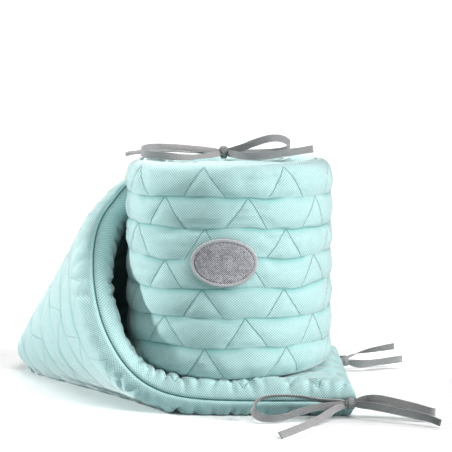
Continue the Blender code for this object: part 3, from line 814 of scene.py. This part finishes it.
def build_tie(name, knot, strands, free_ends, way, axis, tree):
    """A tied bow with its knot wrapped round the middle; returns it and its tape's length."""
    tape = Tape(seed=len(name))
    for k, rows in enumerate(strands):
        tape.strand(rows, knot, k in free_ends)
    for slant, width, swell in WRAPS:
        tape.wrap(knot, axis, slant, width, swell)
    bow = tape.build(name)
    seat(bow, way, tree)
    return bow, tape.length


# ---------------------------------------------------------------- shader helpers
def add_node(tree, kind, inputs=(), **settings):
    """A node with its settings; an input is a value or the socket that feeds it."""
    node = tree.nodes.new(kind)
    for key, value in settings.items():
        setattr(node, key, value)
    for key, value in dict(inputs).items():
        if isinstance(value, bpy.types.NodeSocket):
            tree.links.new(value, node.inputs[key])
        else:
            node.inputs[key].default_value = value
    return node


def calc(tree, operation, *values):
    """One step of arithmetic; returns the socket with its result."""
    return add_node(tree, "ShaderNodeMath", enumerate(values), operation=operation).outputs[0]


def ramp(tree, value, low, high, start=0.0, end=1.0):
    """Smooth change from start to end as value goes from low to high."""
    inputs = {"Value": value, "From Min": low, "From Max": high, "To Min": start, "To Max": end}
    return add_node(tree, "ShaderNodeMapRange", inputs, interpolation_type="SMOOTHSTEP").outputs[0]


def blended(tree, factor, first, second):
    """Mix of two colours."""
    mix = add_node(tree, "ShaderNodeMix", data_type="RGBA")
    sockets = [socket for socket in mix.inputs if socket.enabled]
    for socket, value in zip(sockets, (factor, first, second)):
        if isinstance(value, bpy.types.NodeSocket):
            tree.links.new(value, socket)
        else:
            socket.default_value = value
    return next(socket for socket in mix.outputs if socket.enabled)


def new_group(name, inputs, outputs):
    """A node group with its sockets; returns it with its input and output nodes."""
    group = bpy.data.node_groups.new(name, "ShaderNodeTree")
    for title, kind, value in inputs:
        socket = group.interface.new_socket(title, in_out="INPUT", socket_type=kind)
        socket.default_value = value
    for title, kind in outputs:
        group.interface.new_socket(title, in_out="OUTPUT", socket_type=kind)
    return group, group.nodes.new("NodeGroupInput"), group.nodes.new("NodeGroupOutput")


VECTOR, FLOAT, COLOUR = "NodeSocketVector", "NodeSocketFloat", "NodeSocketColor"


def weave_group():
    """Woven dots in a staggered lattice, with yarns of uneven height."""
    group, given, result = new_group(
        "Woven dots",
        [("Place", VECTOR, (0.0, 0.0, 0.0)), ("Pitch", FLOAT, 0.0023), ("Unevenness", FLOAT, 0.3)],
        [("Height", FLOAT), ("Yarn", FLOAT)])
    place = add_node(group, "ShaderNodeSeparateXYZ", {0: given.outputs["Place"]})
    turns = calc(group, "DIVIDE", 2.0 * math.pi, given.outputs["Pitch"])
    waves = [calc(group, "SINE", calc(group, "MULTIPLY", place.outputs[axis], turns)) for axis in (0, 1)]
    lattice = calc(group, "MULTIPLY", waves[0], waves[1])
    scale = calc(group, "DIVIDE", 0.6, given.outputs["Pitch"])
    noise = add_node(group, "ShaderNodeTexNoise",
                     {"Vector": given.outputs["Place"], "Scale": scale, "Detail": 2.0})
    yarn = calc(group, "SUBTRACT", noise.outputs[0], 0.5)
    uneven = calc(group, "MULTIPLY", yarn, given.outputs["Unevenness"])
    height = calc(group, "ADD", ramp(group, lattice, -0.75, 0.75), uneven)
    group.links.new(height, result.inputs["Height"])
    group.links.new(noise.outputs[0], result.inputs["Yarn"])
    return group


def mottle_group():
    """Slow changes of shade that used cloth has, from three sizes of noise."""
    group, given, result = new_group(
        "Cloth mottle",
        [("Place", VECTOR, (0.0, 0.0, 0.0)), ("Amount", FLOAT, 0.1), ("Colour", COLOUR, (1, 1, 1, 1))],
        [("Colour", COLOUR), ("Shade", FLOAT)])
    total = None
    for scale, share in ((18.0, 0.5), (70.0, 0.3), (420.0, 0.2)):
        noise = add_node(group, "ShaderNodeTexNoise",
                         {"Vector": given.outputs["Place"], "Scale": scale, "Detail": 2.0})
        part = calc(group, "MULTIPLY", calc(group, "SUBTRACT", noise.outputs[0], 0.5), share)
        total = part if total is None else calc(group, "ADD", total, part)
    shade = calc(group, "ADD", 1.0, calc(group, "MULTIPLY", total, given.outputs["Amount"]))
    value = add_node(group, "ShaderNodeHueSaturation",
                     {"Value": shade, "Color": given.outputs["Colour"]})
    group.links.new(value.outputs[0], result.inputs["Colour"])
    group.links.new(shade, result.inputs["Shade"])
    return group


def quilt_group():
    """Distance to the stitched rows and to the sides of the stitched triangles."""
    group, given, result = new_group(
        "Quilt lines",
        [("Place", VECTOR, (0.0, 0.0, 0.0)), ("Row", FLOAT, QUILT_ROW), ("Pitch", FLOAT, QUILT_PITCH),
         ("Base", FLOAT, QUILT_BASE), ("Width", FLOAT, BAND_WIDTH)],
        [("To row", FLOAT), ("Below row", FLOAT), ("To side", FLOAT), ("Along side", FLOAT)])
    place = add_node(group, "ShaderNodeSeparateXYZ", {0: given.outputs["Place"]})
    row_height, pitch = given.outputs["Row"], given.outputs["Pitch"]
    half_pitch = calc(group, "MULTIPLY", pitch, 0.5)
    half_width = calc(group, "MULTIPLY", given.outputs["Width"], 0.5)
    from_middle = calc(group, "SUBTRACT", place.outputs[1], half_width)
    row = calc(group, "ADD", calc(group, "DIVIDE", from_middle, row_height), 0.5)
    index = calc(group, "FLOOR", row)
    down = calc(group, "MULTIPLY", calc(group, "SUBTRACT", row, index), row_height)
    to_row = calc(group, "MINIMUM", down, calc(group, "SUBTRACT", row_height, down))
    odd = calc(group, "FLOORED_MODULO", index, 2.0)
    shift = calc(group, "MULTIPLY", calc(group, "ADD", odd, 1.0), half_pitch)
    along = calc(group, "FLOORED_MODULO", calc(group, "ADD", place.outputs[0], shift), pitch)
    side = calc(group, "ABSOLUTE", calc(group, "SUBTRACT", along, half_pitch))
    slope = calc(group, "DIVIDE", calc(group, "MULTIPLY", given.outputs["Base"], 0.5), row_height)
    off = calc(group, "ABSOLUTE", calc(group, "SUBTRACT", side, calc(group, "MULTIPLY", down, slope)))
    steep = calc(group, "SQRT", calc(group, "ADD", calc(group, "MULTIPLY", slope, slope), 1.0))
    group.links.new(to_row, result.inputs["To row"])
    group.links.new(down, result.inputs["Below row"])
    group.links.new(calc(group, "DIVIDE", off, steep), result.inputs["To side"])
    group.links.new(calc(group, "MULTIPLY", down, steep), result.inputs["Along side"])
    return group


WEAVE = weave_group()
MOTTLE = mottle_group()
QUILT = quilt_group()

MINT = (0.67, 0.84, 0.835, 1.0)
MINT_BETWEEN_DOTS = (0.33, 0.565, 0.565, 1.0)
MINT_SHADE_BELOW_ROWS = (0.32, 0.60, 0.59, 1.0)    # where a row line pulls the weave open
# painted shade below each row line, smooth, with no weave dots
MINT_STITCH_AND_SHADE = (0.12, 0.34, 0.34, 1.0)
MINT_SEAM = (0.05, 0.22, 0.22, 1.0)
TAPE = (0.530, 0.530, 0.535, 1.0)
TAPE_RIM = (0.62, 0.61, 0.61, 1.0)
TAPE_BETWEEN_DOTS = (0.13, 0.13, 0.13, 1.0)
MELANGE = (0.67, 0.67, 0.71, 1.0)
MELANGE_BETWEEN_DOTS = (0.15, 0.13, 0.15, 1.0)
MELANGE_FLECK = (0.78, 0.78, 0.80, 1.0)
MELANGE_RIM = (0.68, 0.69, 0.70, 1.0)
THREAD = (0.125, 0.10, 0.12, 1.0)
FLOOR_SEEN = ((0.965, 0.970, 0.970, 1.0), (0.985, 0.985, 0.980, 1.0))
FLOOR_BOUNCE = (0.60, 0.68, 0.68, 1.0)

STITCH_SPACING = 0.0016     # half the length of a quilting stitch with its gap
# the painted shade below a row line reaches this far down
SHADE_BELOW_ROWS_REACH = 0.0100
FLAP_LINES = 0.45           # how much of the stitching's darkness and the rows' painted shade the pulled flap keeps


def cloth_material(name, sheen, sheen_tint, sheen_roughness=0.5):
    """An empty cloth material; returns it, its node tree, its shader and the laid-out place."""
    made = bpy.data.materials.new(name)
    made.use_nodes = True
    tree = made.node_tree
    shader = tree.nodes["Principled BSDF"]
    shader.inputs["Sheen Weight"].default_value = sheen
    shader.inputs["Sheen Tint"].default_value = (*sheen_tint, 1.0)
    shader.inputs["Sheen Roughness"].default_value = sheen_roughness
    shader.inputs["Specular IOR Level"].default_value = 0.25
    laid = add_node(tree, "ShaderNodeAttribute", attribute_name="laid").outputs["Vector"]
    return made, tree, shader, laid


def shared(tree, group, **inputs):
    """A shared node group placed in this material with its own values; returns its outputs."""
    return add_node(tree, "ShaderNodeGroup", inputs, node_tree=group).outputs


def finish_cloth(tree, shader, colour, height, distance, strength):
    """Feed the shader its colour, and its normal from a height between 0 and 1."""
    tree.links.new(colour, shader.inputs["Base Color"])
    bump = add_node(tree, "ShaderNodeBump", {"Height": height, "Distance": distance, "Strength": strength})
    tree.links.new(bump.outputs[0], shader.inputs["Normal"])


def roughen(tree, shader, yarn, low, high):
    """Roughness that goes from low to high with the yarn's unevenness."""
    tree.links.new(ramp(tree, yarn, 0.3, 0.7, low, high), shader.inputs["Roughness"])


def stitching_and_row_shade(tree, lines, rows, from_edge, patchy):
    """Darkness of the quilting: dashed stitching along a triangle's sides, and painted shade, patchy,
    along the rows.
    """
    side_line = ramp(tree, lines["To side"], 0.0003, 0.0011, 1.0, 0.0)
    side_line = calc(tree, "MULTIPLY", side_line, ramp(tree, from_edge, *SIDE_BORDER))
    stitch = calc(tree, "PINGPONG", lines["Along side"], STITCH_SPACING)
    side_line = calc(tree, "MULTIPLY", side_line, ramp(tree, stitch, 0.0001, 0.0006, 0.45, 1.0))
    # painted shade along the row lines, broken up by the rows' patchiness
    row_line_shade = ramp(tree, lines["To row"], 0.0004, 0.0020, 0.70, 0.0)
    shown = calc(tree, "MULTIPLY", rows, ramp(tree, patchy, 0.35, 0.60, 0.25, 1.0))
    return calc(tree, "MAXIMUM", side_line, calc(tree, "MULTIPLY", row_line_shade, shown))


def mint_material():
    """Velvety mint cloth with a fine dotted weave, stitched lines, painted shade along and below the rows,
    and a dark seam.
    """
    made, tree, shader, laid = cloth_material("mint_quilted_cloth", 1.0, (0.99, 1.0, 1.0), 0.45)
    woven = add_node(tree, "ShaderNodeAttribute", attribute_name="woven").outputs["Vector"]
    pulled = add_node(tree, "ShaderNodeAttribute", attribute_name="pulled").outputs["Vector"]
    pulled = add_node(tree, "ShaderNodeSeparateXYZ", {0: pulled}).outputs[0]
    place = add_node(tree, "ShaderNodeSeparateXYZ", {0: laid})
    lines = shared(tree, QUILT, Place=laid)
    weave = shared(tree, WEAVE, Place=woven, Pitch=0.0034, Unevenness=0.45)
    mottle = shared(tree, MOTTLE, Place=woven, Amount=0.14, Colour=MINT)
    far_edge = calc(tree, "SUBTRACT", BAND_WIDTH, place.outputs[1])
    from_edge = calc(tree, "MINIMUM", place.outputs[1], far_edge)
    rows = ramp(tree, from_edge, *ROW_BORDER)
    noise = add_node(tree, "ShaderNodeTexNoise", {"Vector": laid, "Scale": 22.0, "Detail": 1.0})
    patchy = noise.outputs[0]

    line = stitching_and_row_shade(tree, lines, rows, from_edge, patchy)
    line = calc(tree, "MULTIPLY", line, ramp(tree, pulled, 0.0, 1.0, 1.0, FLAP_LINES))
    # painted shade just below each row line, patchy, where the weave's dots are left out
    below = ramp(tree, lines["Below row"], 0.0, SHADE_BELOW_ROWS_REACH, 1.0, 0.0)
    shade_below_rows = calc(tree, "MULTIPLY", below, rows)
    shade_below_rows = calc(tree, "MULTIPLY", shade_below_rows, ramp(tree, patchy, 0.30, 0.62, 0.20, 0.90))
    seam = ramp(tree, calc(tree, "ABSOLUTE", place.outputs[2]), 0.0005, 0.0013, 1.0, 0.0)
    dots = ramp(tree, weave["Height"], 0.20, 0.70, 0.84, 0.0)
    dots = calc(tree, "MULTIPLY", dots, calc(tree, "SUBTRACT", 1.0, shade_below_rows))

    colour = blended(tree, dots, mottle["Colour"], MINT_BETWEEN_DOTS)
    # painted shade below the rows
    colour = blended(tree, shade_below_rows, colour, MINT_SHADE_BELOW_ROWS)
    # the stitching's darkness along the triangles' sides and the painted shade along the rows
    colour = blended(tree, calc(tree, "MULTIPLY", line, 0.55), colour, MINT_STITCH_AND_SHADE)
    colour = blended(tree, calc(tree, "MULTIPLY", seam, 0.80), colour, MINT_SEAM)
    grooved = calc(tree, "MULTIPLY", weave["Height"], 0.30)
    grooved = calc(tree, "SUBTRACT", grooved, calc(tree, "MAXIMUM", line, seam))
    roughen(tree, shader, weave["Yarn"], 0.78, 0.94)
    finish_cloth(tree, shader, colour, grooved, 0.0009, 0.8)
    return made


def tape_material():
    """Matt grey cloth tape with paler edges."""
    made, tree, shader, laid = cloth_material("grey_cloth_tape", 0.30, (0.95, 0.95, 1.0))
    place = add_node(tree, "ShaderNodeSeparateXYZ", {0: laid})
    across = calc(tree, "MULTIPLY", place.outputs[0], 0.5 * TIE_WIDTH)
    real = add_node(tree, "ShaderNodeCombineXYZ", {0: place.outputs[1], 1: across, 2: place.outputs[2]})
    weave = shared(tree, WEAVE, Place=real.outputs[0], Pitch=0.0013, Unevenness=0.8)
    mottle = shared(tree, MOTTLE, Place=real.outputs[0], Amount=0.70, Colour=TAPE)
    rim = ramp(tree, calc(tree, "ABSOLUTE", place.outputs[0]), 0.70, 0.95, 0.0, 0.60)
    colour = blended(tree, rim, mottle["Colour"], TAPE_RIM)
    dots = ramp(tree, weave["Height"], 0.1, 0.8, 0.45, 0.0)
    colour = blended(tree, dots, colour, TAPE_BETWEEN_DOTS)
    roughen(tree, shader, weave["Yarn"], 0.75, 0.95)
    finish_cloth(tree, shader, colour, weave["Height"], 0.0003, 0.7)
    return made


def patch_material():
    """Grey and mauve melange with a paler rim outside the stitching."""
    made, tree, shader, laid = cloth_material("mauve_melange", 0.20, (1.0, 0.97, 1.0))
    place = add_node(tree, "ShaderNodeSeparateXYZ", {0: laid})
    weave = shared(tree, WEAVE, Place=laid, Pitch=0.0026, Unevenness=1.2)
    mottle = shared(tree, MOTTLE, Place=laid, Amount=1.3, Colour=MELANGE)
    dots = ramp(tree, weave["Height"], 0.15, 0.70, 0.90, 0.0)
    colour = blended(tree, dots, mottle["Colour"], MELANGE_BETWEEN_DOTS)
    fleck = add_node(tree, "ShaderNodeTexNoise", {"Vector": laid, "Scale": 620.0, "Detail": 1.0})
    fleck = ramp(tree, fleck.outputs[0], 0.52, 0.70, 0.0, 0.75)
    colour = blended(tree, fleck, colour, MELANGE_FLECK)
    rim = ramp(tree, place.outputs[2], 0.0036, 0.0050, 0.60, 0.0)
    colour = blended(tree, rim, colour, MELANGE_RIM)
    roughen(tree, shader, weave["Yarn"], 0.75, 0.95)
    finish_cloth(tree, shader, colour, weave["Height"], 0.0005, 0.8)
    return made


def thread_material():
    """Twisted dark mauve sewing thread."""
    made, tree, shader, _ = cloth_material("mauve_thread", 0.15, (1.0, 1.0, 1.0))
    spot = add_node(tree, "ShaderNodeTexCoord").outputs["Object"]
    mottle = shared(tree, MOTTLE, Place=spot, Amount=0.8, Colour=THREAD)
    twist = add_node(tree, "ShaderNodeTexWave", {"Vector": spot, "Scale": 900.0, "Distortion": 1.0},
                     bands_direction="DIAGONAL")
    finish_cloth(tree, shader, mottle["Colour"], twist.outputs[1], 0.0002, 0.6)
    shader.inputs["Roughness"].default_value = 0.6
    return made


def floor_material():
    """Plain pale floor, lit a little from below, which throws back less light than it shows."""
    made = bpy.data.materials.new("pale_floor")
    made.use_nodes = True
    tree = made.node_tree
    shader = tree.nodes["Principled BSDF"]
    spot = add_node(tree, "ShaderNodeTexCoord").outputs["Object"]
    noise = add_node(tree, "ShaderNodeTexNoise", {"Vector": spot, "Scale": 1.5, "Detail": 3.0})
    colour = blended(tree, noise.outputs[0], *FLOOR_SEEN)
    seen = add_node(tree, "ShaderNodeLightPath").outputs["Is Camera Ray"]
    colour = blended(tree, seen, FLOOR_BOUNCE, colour)
    tree.links.new(colour, shader.inputs["Base Color"])
    shader.inputs["Roughness"].default_value = 0.7
    shader.inputs["Emission Color"].default_value = (1.0, 1.0, 1.0, 1.0)
    tree.links.new(ramp(tree, seen, 0.0, 1.0, 0.0, FLOOR_GLOW), shader.inputs["Emission Strength"])
    return made


# ---------------------------------------------------------------- camera, light and floor
CAMERA_PLACE = (0.0038, -1.850, 0.444)
CAMERA_PITCH = math.radians(6.44)
CAMERA_LENS = 103.1
CAMERA_SENSOR = 36.0
CAMERA_SHIFT = -0.0104
PICTURE_GAMMA = 0.72

LIGHTS = (
    # name, the way towards the light, its width in degrees, strength, colour
    ("key_left", (-0.912, 0.227, 0.342), 4.0, 3.5, (1.0, 0.98, 0.98)),
    ("key_right", (0.950, -0.480, 0.600), 26.0, 2.7, (1.0, 0.96, 0.96)),
    ("soft_top", (0.240, -0.550, 1.000), 30.0, 1.2, (1.0, 0.99, 0.99)),
    ("soft_back", (0.100, 0.800, 1.400), 45.0, 0.6, (1.0, 1.0, 1.0)),
)
SKY_STRENGTH = 0.04         # what the white surroundings light the cloth with
SKY_SEEN = 1.05             # and how bright they look
FLOOR_HALF = 14.0
FLOOR_CELLS = 8
FLOOR_GLOW = 0.05


def build_floor():
    """The pale floor, which isn't part of the object."""
    data = bpy.data.meshes.new("floor")
    mesh = bmesh.new()
    bmesh.ops.create_grid(mesh, x_segments=FLOOR_CELLS, y_segments=FLOOR_CELLS, size=FLOOR_HALF)
    mesh.to_mesh(data)
    mesh.free()
    data.materials.append(floor_material())
    floor = placed_object("floor", data)


def build_lights():
    """White surroundings and four soft suns."""
    world = bpy.data.worlds.new("white_studio")
    bpy.context.scene.world = world
    world.use_nodes = True
    tree = world.node_tree
    background = tree.nodes["Background"]
    background.inputs["Color"].default_value = (1.0, 1.0, 1.0, 1.0)
    seen = add_node(tree, "ShaderNodeLightPath").outputs["Is Camera Ray"]
    tree.links.new(ramp(tree, seen, 0.0, 1.0, SKY_STRENGTH, SKY_SEEN), background.inputs["Strength"])

    for name, way, width, strength, colour in LIGHTS:
        lamp = bpy.data.lights.new(name, "SUN")
        lamp.angle = math.radians(width)
        lamp.energy = strength
        lamp.color = colour
        light = placed_object(name, lamp)
        light.location = Vector(way) * 2.0
        light.rotation_euler = Vector(way).to_track_quat("Z", "Y").to_euler()


def build_camera():
    """The camera at the photograph's angle, and the picture's contrast."""
    lens = bpy.data.cameras.new("camera")
    lens.lens = CAMERA_LENS
    lens.sensor_width = CAMERA_SENSOR
    lens.shift_x = CAMERA_SHIFT
    camera = placed_object("camera", lens)
    camera.location = CAMERA_PLACE
    camera.rotation_euler = (0.5 * math.pi - CAMERA_PITCH, 0.0, 0.0)
    bpy.context.scene.camera = camera
    bpy.context.scene.view_settings.view_transform = "Standard"
    bpy.context.scene.view_settings.gamma = PICTURE_GAMMA


# ---------------------------------------------------------------- putting it together
build_floor()
build_lights()
build_camera()

band = build_band()
band.data.materials.append(mint_material())
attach(band, "root")
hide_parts("bumper_band")

patch = build_patch()
patch.data.materials.append(patch_material())
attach(patch, "root")
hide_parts("sewn_patch")

stitches = build_patch_stitches()
stitches.data.materials.append(thread_material())
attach(stitches, "root")

tape_cloth = tape_material()
band_tree = BVHTree.FromObject(band, bpy.context.evaluated_depsgraph_get())
for name, node, knot, strands, free_ends, way, axis in TIES:
    bow, tape_length = build_tie(name, knot, strands, free_ends, way, axis, band_tree)
    bow.data.materials.append(tape_cloth)
    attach(bow, "root")
    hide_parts(node)
